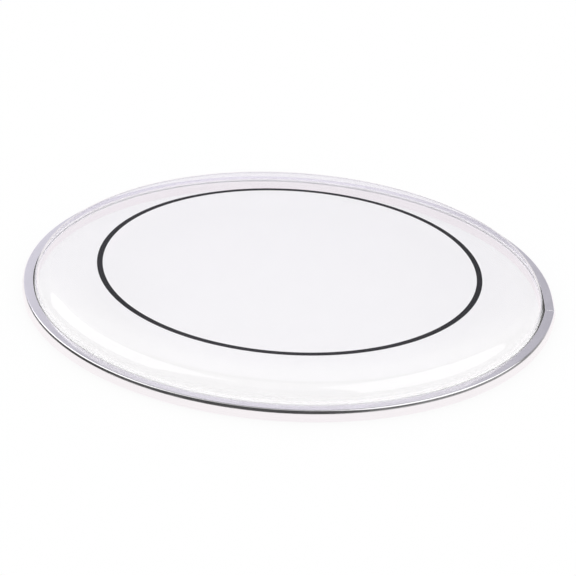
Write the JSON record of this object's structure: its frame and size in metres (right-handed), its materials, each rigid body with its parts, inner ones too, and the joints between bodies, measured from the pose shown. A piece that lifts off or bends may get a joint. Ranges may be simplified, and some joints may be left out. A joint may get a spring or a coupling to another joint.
{
  "type": "drum head",
  "caption": "Clear two-ply drum head with a black ring, its formed collar locked in an aluminium channel hoop that slips over a drum shell.",
  "frame": {"origin": "centre of the hoop's bottom face, on the head's axis", "axes": "+Z along the head's axis, from the hoop to the playing face; +X towards the right of the picture, close to the hoop's butt joint; +Y away from the viewer"},
  "size_m": [0.3248, 0.3248, 0.0164],
  "materials": {
    "hoop_aluminium": "satin",
    "cast_resin": "satin",
    "clear_film": "gloss",
    "black_band": "satin",
    "clear_bond": "gloss"
  },
  "bodies": {
    "root": {"hoop_channel": "hoop_aluminium", "resin_ring": "cast_resin", "top_film": "clear_film", "bottom_film": "clear_film", "black_ring": "black_band", "bond_layer": "clear_bond"}
  },
  "joints": []
}
